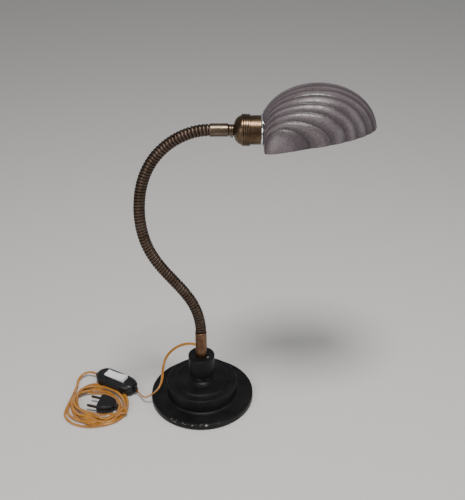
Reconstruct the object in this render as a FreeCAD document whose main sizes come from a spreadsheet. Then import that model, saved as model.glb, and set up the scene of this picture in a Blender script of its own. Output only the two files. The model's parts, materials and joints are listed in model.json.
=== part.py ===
import FreeCAD, Part
import math
import os
import Sketcher
from FreeCAD import Placement, Rotation, Vector

# Gooseneck desk lamp, in millimetres. +Z is up, the origin is the centre of the base's underside, the arm
# bends in the XZ plane and the shade points towards +X. The flex, its switch and its plug lie on the table.

DRIVING_SIZES = {
    # base casting, from the table up
    "felt_radius": 71, "felt_thickness": 2, "skirt_clearance": 0.4,
    "disc_radius": 75, "disc_height": 9.5, "disc_round": 2.5, "edge": 1,
    "tier_radius": 51.2, "tier_height": 32, "tier_round": 3,
    "foot_ring_radius": 39.5, "foot_ring_height": 2.5,
    "neck_radius": 12.7, "neck_height": 45.5,
    "collar_radius": 19, "collar_height": 77,
    "recess_radius": 44, "recess_height": 14,
    # threads and bores shared by the stem, the ferrules and the lampholder
    "thread_radius": 5, "thread_fit": 0.05, "wire_bore": 3.2,
    "screw_radius": 1.2, "screw_length": 5, "screw_head_radius": 1.9, "screw_head_height": 1.6,
    "stem_bottom": 5, "nut_flats": 17, "nut_height": 4, "washer_radius": 11, "washer_height": 1.2,
    "ferrule_radius": 8.2, "ferrule_bottom": 69, "neck_start": 119,
    # gooseneck: links of ribbed tube on ball sleeves
    "link_length": 22, "rib_count": 5, "rib_wire": 1.55, "rib_radius": 7.7, "core_radius": 6.4,
    "ball_radius": 6, "ball_reach": 3.2, "ball_fit": 0.1, "link_gap": 0.65, "core_gap": 1.5,
    # lampholder, measured forwards from the end of the gooseneck
    "upper_ferrule_end": 24, "nipple_end": 31, "nipple_radius": 7.1,
    "cap_start": 30, "cap_end": 39.6, "skirt_end": 43, "cap_radius": 18.1, "sheet_metal": 1,
    "ring_end": 50, "ring_radius": 19.6, "ring_groove": 0.55,
    "shell_radius": 18, "shell_end": 75,
    "shade_ring_start": 63.2, "shade_ring_width": 3.6, "shade_ring_radius": 20.1,
    "insert_radius": 15.8, "insert_bore": 2, "insert_end": 51.8,
    "liner_bore": 5, "liner_radius": 14.2, "liner_wall": 0.8,
    "contact_radius": 1.8, "contact_head_radius": 3.6, "terminal_radius": 2, "terminal_height": 3,
    "terminal_offset": 7.8,
    "bulb_contact_radius": 4.5, "bulb_cap_radius": 13.1, "bulb_start": 54.2, "bulb_cap_end": 80,
    "bulb_neck_radius": 12.3, "globe_foot_radius": 15.5, "globe_radius": 22, "globe_centre": 97.7,
    "glass_wall": 0.9,
    # shade
    "shade_wall": 1.2, "shade_start": 66.85, "shade_length": 137.5, "shade_crown": 57.5,
    "shade_half_width": 51, "shade_fit": 0.1, "shade_roll": 8,
    "rim_drop": 18, "rim_rise": 22.3,
    # flex, inline switch, coil and plug
    "flex_width": 4, "flex_exit_height": 60,
    "bush_radius": 4, "bush_bore": 2, "bush_flange": 1.6, "bush_end": 25,
    "switch_length": 68, "switch_width": 30, "switch_split": 8, "switch_height": 18, "switch_wall": 1.8,
    "switch_base_round": 3, "switch_cover_round": 5,
    "nose_width": 8, "nose_start": 47, "nose_round": 30, "grommet_radius": 3.4, "grommet_length": 7,
    "grommet_height": 7.5, "grommet_inside": 3, "contact_strip_length": 36, "contact_strip_width": 10,
    "contact_strip_height": 4,
    "rocker_length": 35, "rocker_width": 13, "rocker_gap": 0.8, "rocker_offset": 1.5, "rocker_rise": 4.6,
    "rocker_end": 5.6, "rocker_dip": 1.5, "rocker_belly": 3.6, "rocker_foot": 3, "rocker_pivot": 12.5,
    "rocker_tilt": 5,
    "coil_radius": 45, "coil_height": 10.5, "coil_round": 4, "coil_hole_radius": 18.5, "coil_hole_length": 54,
    "plug_length": 24, "plug_shoulder": 10.8, "plug_width": 28, "plug_tail_width": 18, "plug_height": 13,
    "plug_round": 2, "sleeve_length": 6, "sleeve_radius": 4, "sleeve_tip_radius": 3.2,
    "pin_radius": 2, "pin_length": 15, "pin_spacing": 19,
}

# How far each gooseneck link turns the tube at rest, in degrees, from the base up. Positive turns towards -X.
LINK_TURNS = [10.5, 12, 10.5, 5, -1, -6, -9.5, -10, -8, -7.5, -7.5, -9.5, -12, -13, -12.5, -14, -17.5]

# The flex from the base to the switch, then from the switch to the coil: corner points of the route.
FLEX_TO_SWITCH = [
    (0, 25, 60), (-1, 33, 60.5), (-5, 40, 61), (-12, 45, 61), (-21, 47, 60.5), (-31, 47, 58.5),
    (-41, 45.5, 54), (-50, 41.5, 48), (-56, 34.5, 42), (-58.5, 26, 36.5), (-59.5, 15.5, 31.5),
    (-59, 5, 28.5), (-60.5, -4.5, 25.5), (-64.5, -12.5, 22), (-70.3, -17.3, 18.8), (-76.8, -19.2, 15.2),
    (-82.6, -17.8, 10.8), (-87.2, -13, 7.2), (-91, -6.4, 5.3), (-97.6, 1.5, 7.5),
]
FLEX_TO_COIL = [
    (-162.5, 39, 7.5), (-170, 43.3, 8.2), (-178.5, 43.6, 7.6), (-185.8, 39.3, 5.8), (-190, 31.8, 4.2),
    (-190.6, 23.2, 3), (-189.6, 14.2, 3), (-187.8, 5, 5),
]
COLLAR_SCREW = Vector(9.2, -7.4, 0)
SWITCH_CENTRE = Vector(-130.5, 20.5, 0)
SWITCH_HEADING = -30
COIL_CENTRE = Vector(-155, -26, 0)
PLUG_CORNER = Vector(-154, -40.5, 2.4)
PLUG_HEADING = -12
PLUG_PITCH = 5

# The shade's outline, as shares of its length: where its crown and its width are greatest, and how much further
# than its back wall the two curves behind those places would reach.
CROWN_AT = 0.48
CROWN_PAST_BACK = 1.085
WIDEST_AT = 0.465
WIDTH_PAST_BACK = 1.03
WIDTH_SQUARENESS = 8
# Where the arches that the shade is lofted through stand, in millimetres from its back wall.
OUTER_ARCHES = [0, 7, 16, 30, 48, 66, 84, 100, 114, 125, 132.5, 136.3]
INNER_ARCHES = [7, 16, 30, 48, 66, 84, 100, 114, 125, 132, 134.6]

doc = FreeCAD.newDocument("GooseneckLamp")
sheet = doc.addObject("Spreadsheet::Sheet", "Sizes")
for row, (name, value) in enumerate(DRIVING_SIZES.items(), start=1):
    sheet.set("A%d" % row, name)
    sheet.set("B%d" % row, str(value))
    sheet.setAlias("B%d" % row, name)
doc.recompute()

subparts = []


# ---- sizes that carry their own spreadsheet formula ----

class Dim:
    """A length that knows its value and the spreadsheet formula that gives it."""

    def __init__(self, value, formula):
        self.value = float(value)
        self.formula = formula

    def joined(self, other, sign, work):
        other = other if isinstance(other, Dim) else Dim(other, repr(other))
        return Dim(work(self.value, other.value), "(%s %s %s)" % (self.formula, sign, other.formula))

    def __add__(self, other):
        return self.joined(other, "+", lambda a, b: a + b)

    def __sub__(self, other):
        return self.joined(other, "-", lambda a, b: a - b)

    def __mul__(self, other):
        return self.joined(other, "*", lambda a, b: a * b)

    def __truediv__(self, other):
        return self.joined(other, "/", lambda a, b: a / b)

    def __neg__(self):
        return Dim(-self.value, "(-1 * %s)" % self.formula)


def size(name):
    return Dim(sheet.get(name), "Sizes.%s" % name)


def number(name):
    """The plain value of one spreadsheet cell, for shapes that are computed rather than sketched."""
    return float(sheet.get(name))


def fixed(value):
    return value if isinstance(value, Dim) else Dim(value, repr(value))


def half_chord(radius, offset):
    """Half the width of a circle at a distance from its centre."""
    value = math.sqrt(radius.value ** 2 - offset.value ** 2)
    return Dim(value, "sqrt(%s ^ 2 - %s ^ 2)" % (radius.formula, offset.formula))


# ---- sketch and body helpers ----

def origin_plane(body, role):
    return [feature for feature in body.Origin.OriginFeatures if feature.Role == role][0]


def arc_between(start, end, radius):
    """The short arc between two points. A positive radius puts its centre on the left of the way."""
    chord = end - start
    half = chord.Length / 2
    left = Vector(-chord.y, chord.x, 0).normalize()
    rise = math.sqrt(max(radius * radius - half * half, 0))
    centre = (start + end) / 2 + left * math.copysign(rise, radius)
    first, last = (start, end) if radius > 0 else (end, start)
    angles = [math.atan2(point.y - centre.y, point.x - centre.x) for point in (first, last)]
    circle = Part.Circle(centre, Vector(0, 0, 1), abs(radius))
    return Part.ArcOfCircle(circle, angles[0], angles[1])


def sketch_outline(body, points, role="XZ_Plane"):
    """A closed outline bound to the sheet. A point is (across, up) or (across, up, radius of the arc to it)."""
    sketch = body.newObject("Sketcher::SketchObject", body.Name + "_outline")
    sketch.AttachmentSupport = [(origin_plane(body, role), "")]
    sketch.MapMode = "FlatFace"
    corners = [[fixed(part) for part in point] for point in points]
    places = [Vector(corner[0].value, corner[1].value, 0) for corner in corners]
    count = len(corners)
    ends = []
    for index in range(count):
        following = (index + 1) % count
        radius = corners[following][2] if len(corners[following]) > 2 else None
        if radius is None:
            sketch.addGeometry(Part.LineSegment(places[index], places[following]), False)
            ends.append((1, 2))
        else:
            sketch.addGeometry(arc_between(places[index], places[following], radius.value), False)
            ends.append((1, 2) if radius.value > 0 else (2, 1))
    for index in range(count):
        following = (index + 1) % count
        sketch.addConstraint(
            Sketcher.Constraint("Coincident", index, ends[index][1], following, ends[following][0]))
    for index, corner in enumerate(corners):
        for kind, part in (("DistanceX", corner[0]), ("DistanceY", corner[1])):
            place = sketch.addConstraint(Sketcher.Constraint(kind, -1, 1, index, ends[index][0], part.value))
            if "Sizes" in part.formula:
                sketch.setExpression("Constraints[%d]" % place, part.formula)
        if len(corner) > 2:
            arc = (index - 1) % count
            place = sketch.addConstraint(Sketcher.Constraint("Radius", arc, abs(corner[2].value)))
            if "Sizes" in corner[2].formula:
                sign = "" if corner[2].value > 0 else "-1 * "
                sketch.setExpression("Constraints[%d]" % place, sign + corner[2].formula)
    return sketch


def keep(piece, label, placement=None):
    """Name a finished sub-part, put it in place and list it for export."""
    piece.Label = label
    if placement is not None:
        piece.Placement = placement
    subparts.append(piece)
    return piece


def turned(label, outline, placement=None):
    """A body of revolution about its own Z axis."""
    body = doc.addObject("PartDesign::Body", label)
    sketch = sketch_outline(body, outline)
    revolution = body.newObject("PartDesign::Revolution", label + "_turning")
    revolution.Profile = sketch
    revolution.ReferenceAxis = (sketch, ["V_Axis"])
    revolution.Angle = 360
    return keep(body, label, placement)


def padded(label, outline, height, placement=None, role="XY_Plane", start=None):
    """A body padded from a flat outline, from its own plane or from an offset above it."""
    body = doc.addObject("PartDesign::Body", label)
    sketch = sketch_outline(body, outline, role)
    if start is not None:
        sketch.setExpression("AttachmentOffset.Base.z", start.formula)
    pad = body.newObject("PartDesign::Pad", label + "_pad")
    pad.Profile = sketch
    pad.setExpression("Length", fixed(height).formula)
    return keep(body, label, placement)


def pocket(body, outline, depth, role="XY_Plane", reverse=False, start=None):
    """Cut an outline out of a body, and stop if nothing was removed."""
    doc.recompute()
    before = body.Shape.Volume
    sketch = sketch_outline(body, outline, role)
    if start is not None:
        sketch.setExpression("AttachmentOffset.Base.z", start.formula)
    cut = body.newObject("PartDesign::Pocket", body.Name + "_pocket")
    cut.Profile = sketch
    cut.setExpression("Length", fixed(depth).formula)
    cut.Reversed = reverse
    doc.recompute()
    if body.Shape.Volume > before - 0.01:
        raise RuntimeError("the pocket in %s removed nothing" % body.Label)


def fillet(body, radius, choose):
    """Round the edges of a body's last feature that a test on their centre of mass picks."""
    doc.recompute()
    last = body.Tip
    names = ["Edge%d" % (index + 1) for index, edge in enumerate(last.Shape.Edges) if choose(edge)]
    rounding = body.newObject("PartDesign::Fillet", body.Name + "_rounding")
    rounding.Base = (last, names)
    rounding.setExpression("Radius", fixed(radius).formula)


def round_hole(radius, height):
    """Four quarter arcs round a centre that lies on the sketch's vertical axis."""
    return [(radius, height, radius), (0, height + radius, radius), (-radius, height, radius),
            (0, height - radius, radius)]


# ---- base ----

def build_base():
    edge = size("edge")
    felt = size("felt_thickness")
    skirt = size("skirt_clearance")
    disc = size("disc_radius")
    tier = size("tier_radius")
    ring = size("foot_ring_radius")
    ring_top = size("tier_height") + size("foot_ring_height")
    neck = size("neck_radius")
    neck_top = size("neck_height")
    collar = size("collar_radius")
    top = size("collar_height")
    seat = size("ferrule_radius") + size("thread_fit")
    bore = size("thread_radius") + size("thread_fit")
    casting = turned("base_casting", [
        (size("recess_radius"), felt),
        (size("felt_radius") + edge / 2, felt),
        (size("felt_radius") + edge / 2, skirt),
        (disc - edge, skirt),
        (disc, skirt + edge, edge),
        (disc, size("disc_height") - size("disc_round")),
        (disc - size("disc_round"), size("disc_height"), size("disc_round")),
        (tier + edge * 2, size("disc_height") + edge),
        (tier, size("disc_height") + edge * 3, -(edge * 2)),
        (tier, size("tier_height") - size("tier_round")),
        (tier - size("tier_round"), size("tier_height"), size("tier_round")),
        (ring, size("tier_height") + edge / 2),
        (ring - edge / 2, ring_top - edge / 2),
        (ring - edge * 2, ring_top),
        (neck * 1.9, ring_top + edge * 1.5),
        (neck, neck_top - edge, -(edge * 14)),
        (neck, neck_top),
        (collar - edge, neck_top),
        (collar, neck_top + edge, edge),
        (collar, top - edge * 2),
        (collar - edge * 2, top, edge * 2),
        (seat + edge / 2, top),
        (seat, top - edge / 2),
        (seat, size("ferrule_bottom")),
        (bore, size("ferrule_bottom")),
        (bore, size("recess_height")),
        (size("recess_radius"), size("recess_height")),
    ])
    pocket(casting, round_hole(size("bush_radius"), size("flex_exit_height")), collar + edge, "XZ_Plane")
    turned("felt_pad", [
        (0, 0), (size("felt_radius"), 0), (size("felt_radius"), felt - edge / 20), (0, felt - edge / 20)])
    washer_top = size("recess_height")
    turned("base_washer", [
        (bore, washer_top - size("washer_height")), (size("washer_radius"), washer_top - size("washer_height")),
        (size("washer_radius"), washer_top), (bore, washer_top)])
    build_nut(washer_top - size("washer_height") - size("nut_height"), bore)
    stem = turned("threaded_stem", [
        (size("wire_bore"), size("stem_bottom")),
        (size("thread_radius") - edge / 2, size("stem_bottom")),
        (size("thread_radius"), size("stem_bottom") + edge / 2),
        (size("thread_radius"), size("ferrule_bottom") + edge * 10),
        (size("wire_bore"), size("ferrule_bottom") + edge * 10),
    ])
    pocket(stem, round_hole(size("wire_bore") - edge / 5, size("flex_exit_height")),
           size("thread_radius") + edge, "XZ_Plane")


def build_nut(height, bore):
    """The hexagon nut that holds the stem in the base."""
    flats = size("nut_flats")
    corner = flats / math.sqrt(3)
    half = corner / 2
    apothem = flats / 2
    nut = padded("base_nut", [
        (corner, 0), (half, apothem), (-half, apothem), (-corner, 0), (-half, -apothem), (half, -apothem)],
        size("nut_height"), start=height)
    pocket(nut, round_hole(bore, fixed(0)), size("nut_height") + size("edge"), start=height, reverse=True)


def build_small_screw(label, placement):
    """A cheese-head screw that points along its own Z axis with its head outwards."""
    shank = size("screw_radius")
    head = size("screw_head_radius")
    seat = size("screw_length")
    top = seat + size("screw_head_height")
    edge = size("edge") / 2
    turned(label, [
        (0, 0), (shank, 0), (shank, seat), (head, seat), (head, top - edge),
        (head - edge, top, edge), (0, top)], placement)


def build_flex_bush():
    """The bush in the back of the collar that the flex comes out of; its axis points to +Y."""
    radius = size("bush_radius")
    bore = size("bush_bore")
    edge = size("edge")
    start = size("thread_radius") + edge * 3
    seat = size("collar_radius") + edge * 0.4
    end = size("bush_end")
    flange = radius + size("bush_flange")
    turned("flex_bush", [
        (bore, start), (radius - edge / 20, start), (radius - edge / 20, seat), (flange, seat),
        (flange, seat + size("bush_flange")), (radius - edge * 0.6, end), (bore, end)],
        Placement(Vector(0, 0, number("flex_exit_height")), Rotation(Vector(1, 0, 0), -90)))


# ---- gooseneck ----

def chain_frames():
    """The placement of each link's start, and last that of the gooseneck's end."""
    length = number("link_length")
    place = Vector(0, 0, number("neck_start"))
    lean = 0.0
    frames = []
    for turn in LINK_TURNS:
        frames.append(Placement(place, Rotation(Vector(0, 1, 0), -lean)))
        place = frames[-1].multVec(along_link(length, turn)[0])
        lean += turn
    frames.append(Placement(place, Rotation(Vector(0, 1, 0), -lean)))
    return frames


def along_link(distance, turn):
    """Point and direction at a distance along a link that starts at its origin, towards +Z."""
    bend = number("link_length") / math.radians(turn)
    angle = distance / bend
    place = Vector(-bend * (1 - math.cos(angle)), 0, bend * math.sin(angle))
    return place, Vector(-math.sin(angle), 0, math.cos(angle))


def bent_bar(radius, start, end, turn):
    """A round bar along a link's curve, between two distances along it."""
    place, direction = along_link(start, turn)
    disc = Part.Face(Part.Wire(Part.makeCircle(radius, place, direction)))
    bend = number("link_length") / math.radians(turn)
    angle = math.degrees((end - start) / bend)
    return disc.revolve(Vector(-bend, 0, 0), Vector(0, -math.copysign(1, turn), 0), abs(angle))


def link_shape(turn):
    """One link: round ribs on a core, a ball sleeve at its top and the socket for one at its bottom."""
    length = number("link_length")
    gap = number("core_gap")
    wire = number("rib_wire")
    pitch = length / number("rib_count")
    ribs = []
    for index in range(int(number("rib_count"))):
        place, direction = along_link((index + 0.5) * pitch, turn)
        ribs.append(Part.makeTorus(number("rib_radius") - wire, wire, place, direction))
    core = bent_bar(number("core_radius"), gap, length - gap, turn)
    top, direction = along_link(length, turn)
    reach = number("ball_reach")
    start = top - direction * (length / 4)
    sleeve = Part.makeCylinder(number("rib_radius"), length / 4 + reach, start, direction)
    ball = Part.makeSphere(number("ball_radius"), top).common(sleeve)
    socket = Part.makeSphere(number("ball_radius") + number("ball_fit"))
    bore = bent_bar(number("wire_bore"), -1, length + 2 * reach, turn)
    return core.fuse(ribs + [ball]).cut(socket).cut(bore)


def build_gooseneck():
    frames = chain_frames()
    for index, turn in enumerate(LINK_TURNS):
        link = doc.addObject("Part::Feature", "link_%02d" % (index + 1))
        link.Shape = link_shape(turn)
        keep(link, "gooseneck_link_%02d" % (index + 1), frames[index])
    build_lower_ferrule()
    build_upper_ferrule(frames[-1])
    return frames[-1]


def build_lower_ferrule():
    """The brass ferrule in the collar; the ball sleeve on its top carries the first link."""
    outer = size("ferrule_radius")
    bottom = size("ferrule_bottom")
    pivot = size("neck_start")
    edge = size("edge")
    ball = size("ball_radius")
    reach = size("ball_reach")
    shoulder = size("link_gap")
    bore = size("thread_radius") + size("thread_fit")
    turned("lower_ferrule", [
        (bore, bottom),
        (outer, bottom),
        (outer, pivot - shoulder - edge),
        (outer - edge, pivot - shoulder, edge),
        (half_chord(ball, shoulder), pivot - shoulder),
        (half_chord(ball, reach), pivot + reach, ball),
        (size("wire_bore"), pivot + reach),
        (size("wire_bore"), bottom + edge * 11),
        (bore, bottom + edge * 11),
    ])


def build_upper_ferrule(head):
    """The ferrule at the gooseneck's end; its socket takes the last link's ball sleeve."""
    outer = size("ferrule_radius")
    end = size("upper_ferrule_end")
    edge = size("edge")
    socket = size("ball_radius") + size("ball_fit")
    face = size("link_gap")
    bore = size("thread_radius") + size("thread_fit")
    turned("upper_ferrule", [
        (half_chord(socket, face), face, -socket),
        (outer - edge, face),
        (outer, face + edge, edge),
        (outer, end - edge),
        (outer - edge, end, edge),
        (bore, end),
        (bore, end - edge * 10),
        (size("wire_bore"), end - edge * 10),
        (size("wire_bore"), half_chord(socket, size("wire_bore"))),
    ], head)


# ---- lampholder and bulb, on the head's axis ----

def build_lampholder(head):
    bore = size("thread_radius") + size("thread_fit")
    metal = size("sheet_metal")
    cap = size("cap_radius")
    cap_start = size("cap_start")
    edge = size("edge")
    shell = size("shell_radius")
    turned("cord_grip_nipple", [
        (size("wire_bore"), size("upper_ferrule_end") - edge * 9),
        (size("thread_radius"), size("upper_ferrule_end") - edge * 9),
        (size("thread_radius"), size("upper_ferrule_end") + edge / 10),
        (size("nipple_radius") - edge / 2, size("upper_ferrule_end") + edge / 10),
        (size("nipple_radius"), size("upper_ferrule_end") + edge * 0.6, edge / 2),
        (size("nipple_radius"), cap_start - edge * 0.6),
        (size("nipple_radius") - edge / 2, cap_start - edge / 10, edge / 2),
        (size("thread_radius"), cap_start - edge / 10),
        (size("thread_radius"), cap_start + edge * 4),
        (size("wire_bore"), cap_start + edge * 4),
    ], head)
    turned("lampholder_cap", [
        (bore, cap_start),
        (size("nipple_radius") + edge / 2, cap_start),
        (size("nipple_radius") + edge / 2, cap_start + metal),
        (cap, size("cap_end"), edge * 12),
        (cap, size("skirt_end")),
        (cap - metal, size("skirt_end")),
        (cap - metal, size("cap_end") + edge / 4),
        (size("nipple_radius") + edge / 4, cap_start + metal * 2.2, -(edge * 11)),
        (bore, cap_start + metal * 2.2),
    ], head)
    build_ribbed_ring(head)
    turned("lampholder_shell", [
        (shell - metal * 0.8, size("skirt_end") + edge / 5),
        (shell, size("skirt_end") + edge / 5),
        (shell, size("shell_end") - edge / 2),
        (shell - metal * 0.4, size("shell_end")),
        (shell - metal * 0.8, size("shell_end")),
    ], head)
    insert = size("insert_radius")
    end = size("insert_end")
    insert_bore = size("insert_bore")
    turned("ceramic_insert", [
        (insert_bore, size("cap_end") + edge), (insert - edge * 4, size("cap_end") + edge),
        (insert, size("cap_end") + edge * 4), (insert, end - edge), (insert - edge, end, edge),
        (insert_bore, end)], head)
    liner = size("liner_radius")
    wall = size("liner_wall")
    liner_bore = size("liner_bore")
    turned("thread_liner", [
        (liner_bore, end + edge / 10), (liner, end + edge / 10), (liner, size("shell_end") - edge),
        (liner - wall, size("shell_end") - edge), (liner - wall, end + edge / 10 + wall),
        (liner_bore, end + edge / 10 + wall)], head)
    contact = size("contact_radius")
    contact_head = size("contact_head_radius")
    turned("centre_contact", [
        (0, size("cap_end") + edge * 2), (contact, size("cap_end") + edge * 2), (contact, end),
        (contact_head, end), (contact_head, end + edge), (contact_head - edge * 1.2, size("bulb_start") - edge / 10, edge * 3),
        (0, size("bulb_start") - edge / 10)], head)
    screws = []
    for side in (-1, 1):
        screw = doc.addObject("Part::Cylinder", "terminal_screw")
        screw.setExpression("Radius", "Sizes.terminal_radius")
        screw.setExpression("Height", "Sizes.terminal_height")
        screw.setExpression("Placement.Base.y", "%d * Sizes.terminal_offset" % side)
        screw.setExpression("Placement.Base.z", "Sizes.cap_end + Sizes.edge - Sizes.terminal_height")
        screws.append(screw)
    group = doc.addObject("Part::Compound", "terminal_screws")
    group.Links = screws
    keep(group, "terminal_screws", head)
    across = Placement(
        Vector(number("wire_bore"), 0, (number("upper_ferrule_end") + number("cap_start")) / 2 + 0.2),
        Rotation(Vector(0, 1, 0), 90))
    under = head.multiply(across)
    build_small_screw("cord_grip_screw", under)


def build_ribbed_ring(head):
    """The knurled ring that joins cap and shell, with grooves round it between its ribs."""
    outer = size("ring_radius")
    inner = size("cap_radius") + size("thread_fit")
    start = size("cap_end")
    groove = size("ring_groove")
    ribs = 4
    step = (size("ring_end") - start) / ribs
    outline = [(inner, start)]
    for index in range(ribs):
        foot = start + step * index
        outline += [(outer - groove, foot), (outer, foot + groove), (outer, foot + step - groove),
                    (outer - groove, foot + step)]
        if index < ribs - 1:
            outline.pop()
    outline.append((inner, size("ring_end")))
    turned("ribbed_ring", outline, head)


def build_bulb(head):
    cap = size("bulb_cap_radius")
    start = size("bulb_start")
    end = size("bulb_cap_end")
    neck = size("bulb_neck_radius")
    globe = size("globe_radius")
    centre = size("globe_centre")
    wall = size("glass_wall")
    edge = size("edge")
    contact = size("bulb_contact_radius")
    inside = contact + edge / 10
    fit = edge / 10
    turned("bulb_contact", [
        (0, start), (contact - edge * 1.5, start), (contact, start + edge, edge * 2),
        (contact, start + edge * 2), (0, start + edge * 2)], head)
    turned("bulb_cap", [
        (inside, start + edge), (cap - edge, start + edge * 3), (cap, start + edge * 4), (cap, end),
        (neck + fit, end), (neck + fit, start + edge * 5), (inside, start + edge * 2.2)], head)
    step_out = size("globe_foot_radius")
    step_in = step_out - edge * 0.7
    turned("bulb_glass", [
        (neck, end - edge * 8),
        (neck, end),
        (step_out, centre - half_chord(globe, step_out)),
        (0, centre + globe, globe),
        (0, centre + globe - wall),
        (step_in, centre - half_chord(globe - wall, step_in), -(globe - wall)),
        (neck - wall, end),
        (neck - wall, end - edge * 8),
    ], head)


# ---- shade and its two rings ----

def build_shade_rings(head):
    inner = size("shell_radius") + size("thread_fit")
    outer = size("shade_ring_radius")
    start = size("shade_ring_start")
    end = start + size("shade_ring_width")
    edge = size("edge")
    turned("shade_ring", [
        (inner, start), (outer - edge * 1.5, start), (outer, start + edge * 1.5, edge * 1.5),
        (outer, end - edge / 2), (outer - edge / 2, end, edge / 2), (inner, end)], head)
    front = size("shade_start") + size("shade_wall") + edge / 20
    turned("shade_lock_ring", [
        (inner, front), (outer + edge, front), (outer + edge, front + edge * 2.5), (outer, front + edge * 3.5),
        (inner, front + edge * 3.5)], head)


def shade_section(distance, inset, drop):
    """Arch across the shade at a distance from its back wall: half width, crown height and rim height."""
    length = number("shade_length")
    crown_centre = length * CROWN_AT
    crown_reach = length - crown_centre if distance > crown_centre else crown_centre * CROWN_PAST_BACK
    crown = number("shade_crown") * math.sqrt(max(1 - ((distance - crown_centre) / crown_reach) ** 2, 0))
    widest = length * WIDEST_AT
    if distance > widest:
        half_width = math.sqrt(max(1 - ((distance - widest) / (length - widest)) ** 2, 0))
    else:
        fall = ((widest - distance) / (widest * WIDTH_PAST_BACK)) ** WIDTH_SQUARENESS
        half_width = (1 - fall) ** (1 / WIDTH_SQUARENESS)
    half_width *= number("shade_half_width")
    rim = -number("rim_drop") + number("rim_rise") * distance / length
    return half_width - inset, crown - inset, rim - drop


def shade_solid(distances, inset, drop):
    """A solid lofted through arches that stand on the rim plane."""
    wires = []
    steps = 12
    for distance in distances:
        half_width, crown, rim = shade_section(distance, inset, drop)
        arch = []
        for index in range(steps + 1):
            angle = math.pi * index / steps
            arch.append(Vector(distance, half_width * math.cos(angle), rim + (crown - rim) * math.sin(angle)))
        curve = Part.BSplineCurve()
        curve.interpolate(arch)
        wires.append(Part.Wire([curve.toShape(), Part.makeLine(arch[-1], arch[0])]))
    return Part.makeLoft(wires, True, False)


def build_shade(head):
    """The pressed shade: a thin D-shaped dome with its mouth below and a neck hole in its flat back."""
    wall = number("shade_wall")
    length = number("shade_length")
    outer = shade_solid(OUTER_ARCHES, 0, 0)
    inner = shade_solid([wall] + INNER_ARCHES, wall, 4 * wall)
    hole = Part.makeCylinder(
        number("shell_radius") + number("shade_fit"), 6 * wall, Vector(-wall, 0, 0), Vector(1, 0, 0))
    shade = doc.addObject("Part::Feature", "shade")
    shade.Shape = outer.cut(inner).cut(hole)
    print("shade length %.1f of %.1f" % (shade.Shape.BoundBox.XLength, length))
    back = head.multVec(Vector(0, 0, number("shade_start")))
    keep(shade, "shade", Placement(back, Rotation(Vector(1, 0, 0), -number("shade_roll"))))


# ---- flex ----

def rounded_path(points):
    """Straight runs joined by tangent arcs, each as large as its two runs allow. Also returns the radii."""
    corners = [Vector(*point) for point in points]
    edges = []
    radii = []
    begin = corners[0]
    for before, corner, after in zip(corners, corners[1:], corners[2:]):
        way_in = (corner - before).normalize()
        way_out = (after - corner).normalize()
        turn = way_in.getAngle(way_out)
        trim = 0.45 * min((corner - before).Length, (after - corner).Length)
        radii.append(trim / math.tan(turn / 2))
        first = corner - way_in * trim
        last = corner + way_out * trim
        inward = (way_out - way_in).normalize()
        middle = corner + inward * (radii[-1] / math.cos(turn / 2) - radii[-1])
        edges.append(Part.LineSegment(begin, first).toShape())
        edges.append(Part.Arc(first, middle, last).toShape())
        begin = last
    edges.append(Part.LineSegment(begin, corners[-1]).toShape())
    return Part.Wire(edges), radii


def build_flex(label, points):
    radius = number("flex_width") / 2
    path, radii = rounded_path(points)
    start = Vector(*points[0])
    profile = Part.Wire(Part.makeCircle(radius, start, Vector(*points[1]) - start))
    tube = path.makePipeShell([profile], True, False)
    expected = math.pi * radius ** 2 * path.Length
    print("%s: length %.1f, volume %.4f of expected, lowest %.2f" % (
        label, path.Length, tube.Volume / expected, tube.BoundBox.ZMin))
    print("  bend radii: " + ", ".join("%.0f" % value for value in radii))
    flex = doc.addObject("Part::Feature", label)
    flex.Shape = tube
    keep(flex, label)


def build_coil():
    """The loosely coiled flex as one ring of its outer shape, flattened where the switch lies against it."""
    outer = size("coil_radius")
    hole = size("coil_hole_radius")
    half_run = size("coil_hole_length") / 2 - hole
    aside = size("coil_radius") / 7.5
    height = size("coil_height")
    coil = padded("flex_coil", [
        (outer * 0.912, outer * 0.410, outer), (outer * -0.101, outer * 0.995), (-outer, 0, outer),
        (0, -outer, outer), (outer, 0, outer)], height, Placement(COIL_CENTRE, Rotation()))
    pocket(coil, [
        (aside - half_run, -hole, hole), (aside + half_run, -hole), (aside + half_run + hole, 0, hole),
        (aside + half_run, hole, hole), (aside - half_run, hole), (aside - half_run - hole, 0, hole),
    ], height * 2, reverse=True)
    fillet(coil, size("coil_round"), lambda edge: abs(edge.CenterOfMass.z - number("coil_height") / 2) > 1)


# ---- inline switch ----

def switch_outline(inset):
    """Plan of the switch: a half-round left end and a right end that narrows to a nose."""
    width = size("switch_width")
    middle = width / 2
    nose = size("nose_width") / 2
    end = size("switch_length") - inset
    start = size("nose_start")
    bend = size("nose_round") - inset
    return [
        (middle, inset, middle - inset), (start, inset), (end, middle - nose, bend), (end, middle + nose),
        (start, width - inset, bend), (middle, width - inset), (inset, middle, middle - inset)]


def rocker_window(gap):
    length = size("rocker_length") / 2 + gap
    width = size("rocker_width") / 2 + gap
    across = size("switch_width") / 2
    along = size("switch_length") / 2 + size("rocker_offset")
    return [(along - length, across - width), (along + length, across - width),
            (along + length, across + width), (along - length, across + width)]


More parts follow.
